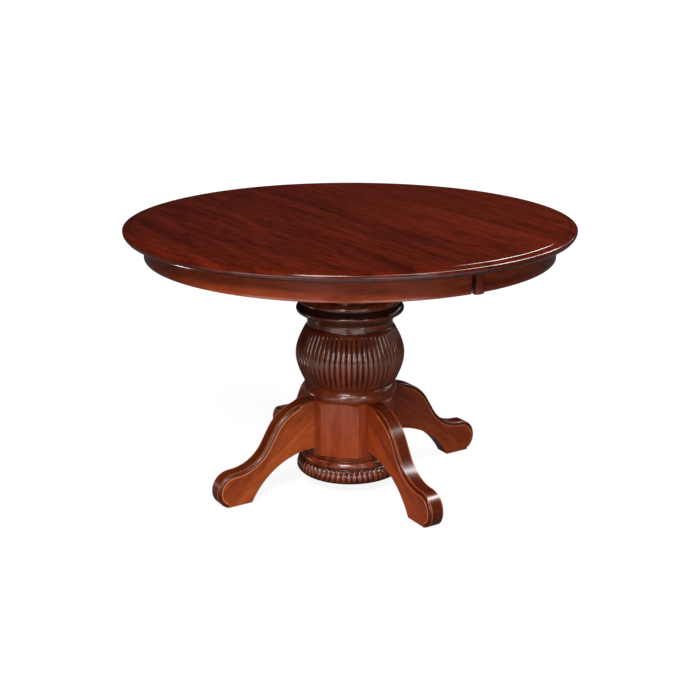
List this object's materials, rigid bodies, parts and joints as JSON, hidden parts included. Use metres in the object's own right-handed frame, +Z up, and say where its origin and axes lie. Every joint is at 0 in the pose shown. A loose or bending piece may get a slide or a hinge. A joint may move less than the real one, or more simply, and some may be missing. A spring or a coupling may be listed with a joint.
{
  "type": "pedestal extension table",
  "caption": "Round split-top dining table on a turned, reeded pedestal with splayed scroll legs; the halves slide apart on geared slides and lock with swivel latches.",
  "frame": {"origin": "on the floor, at the axis of the pedestal", "axes": "+Z up; X is the way the halves slide apart; Y runs along the seam between them"},
  "size_m": [1.2199, 1.22, 0.752],
  "materials": {
    "top_wood": "dark red-brown stained boards under glossy lacquer",
    "apron_wood": "red-brown stained veneer under glossy lacquer",
    "turned_wood": "turned and carved, dark glaze in the hollows, glossy lacquer",
    "leg_wood": "warm red-brown stain under glossy lacquer",
    "inner_wood": "plain sanded wood",
    "slide_wood": "planed pale hardwood, waxed",
    "steel": "zinc plated",
    "gear_metal": "plain machined steel, lightly oiled",
    "brass": "turned brass"
  },
  "bodies": {
    "pedestal": {"leg_left": "leg_wood", "leg_front": "leg_wood", "leg_right": "leg_wood", "leg_back": "leg_wood", "leg_block": "leg_wood", "base_ring": "turned_wood", "base_ring_screws": "steel", "collar_ring": "turned_wood", "reeded_bulb": "turned_wood", "column_cap": "turned_wood", "upper_column": "turned_wood", "mounting_plate": "inner_wood", "plate_bolts": "steel", "tie_rod": "steel", "tie_rod_nuts": "steel", "tie_rod_washers": "steel", "leg_bolts": "steel", "leg_bolt_nuts": "steel", "leg_bolt_washers": "steel", "foot_glides": "steel", "centre_rail_front": "slide_wood", "centre_rail_rear": "slide_wood", "centre_rail_screws": "steel", "pinion_axles": "steel"},
    "left_half": {"top_left": "top_wood", "apron_left": "apron_wood", "left_glue_blocks": "inner_wood", "alignment_pins": "brass", "left_rail_front": "slide_wood", "left_rail_rear": "slide_wood", "left_racks": "gear_metal", "left_rail_screws": "steel", "latch_plates": "steel", "latch_pivots": "steel"},
    "right_half": {"top_right": "top_wood", "apron_right": "apron_wood", "right_glue_blocks": "inner_wood", "seam_block_front": "apron_wood", "seam_block_rear": "apron_wood", "right_rail_front": "slide_wood", "right_rail_rear": "slide_wood", "right_racks": "gear_metal", "right_rail_screws": "steel", "latch_keepers": "steel"},
    "pinion_front": {"pinion_front": "gear_metal"},
    "pinion_rear": {"pinion_rear": "gear_metal"},
    "latch_lever_front": {"latch_lever_front": "steel"},
    "latch_lever_rear": {"latch_lever_rear": "steel"}
  },
  "joints": [
    {"name": "left_half_slide", "type": "slide", "parent": "pedestal", "child": "left_half", "axis": [-1, 0, 0], "range_m": [0, 0.305]},
    {"name": "right_half_slide", "type": "slide", "parent": "pedestal", "child": "right_half", "axis": [1, 0, 0], "range_m": [0, 0.305]},
    {"name": "pinion_rear_spin", "type": "hinge", "parent": "pedestal", "child": "pinion_rear", "pos_m": [0, 0.15, 0.711], "axis": [0, 0, 1], "range_deg": [0, 1000]},
    {"name": "pinion_front_spin", "type": "hinge", "parent": "pedestal", "child": "pinion_front", "pos_m": [0, -0.15, 0.711], "axis": [0, 0, 1], "range_deg": [-1000, 0]},
    {"name": "latch_front_swivel", "type": "hinge", "parent": "left_half", "child": "latch_lever_front", "pos_m": [-0.035, -0.33, 0.721], "axis": [0, 0, 1], "range_deg": [0, 90]},
    {"name": "latch_rear_swivel", "type": "hinge", "parent": "left_half", "child": "latch_lever_rear", "pos_m": [-0.035, 0.33, 0.721], "axis": [0, 0, 1], "range_deg": [-90, 0]}
  ],
  "couplings": [
    {"joint": "right_half_slide", "follows": "left_half_slide", "ratio": 1},
    {"joint": "pinion_rear_spin", "follows": "left_half_slide", "rad_per_m": 57.143},
    {"joint": "pinion_front_spin", "follows": "left_half_slide", "rad_per_m": -57.143}
  ]
}
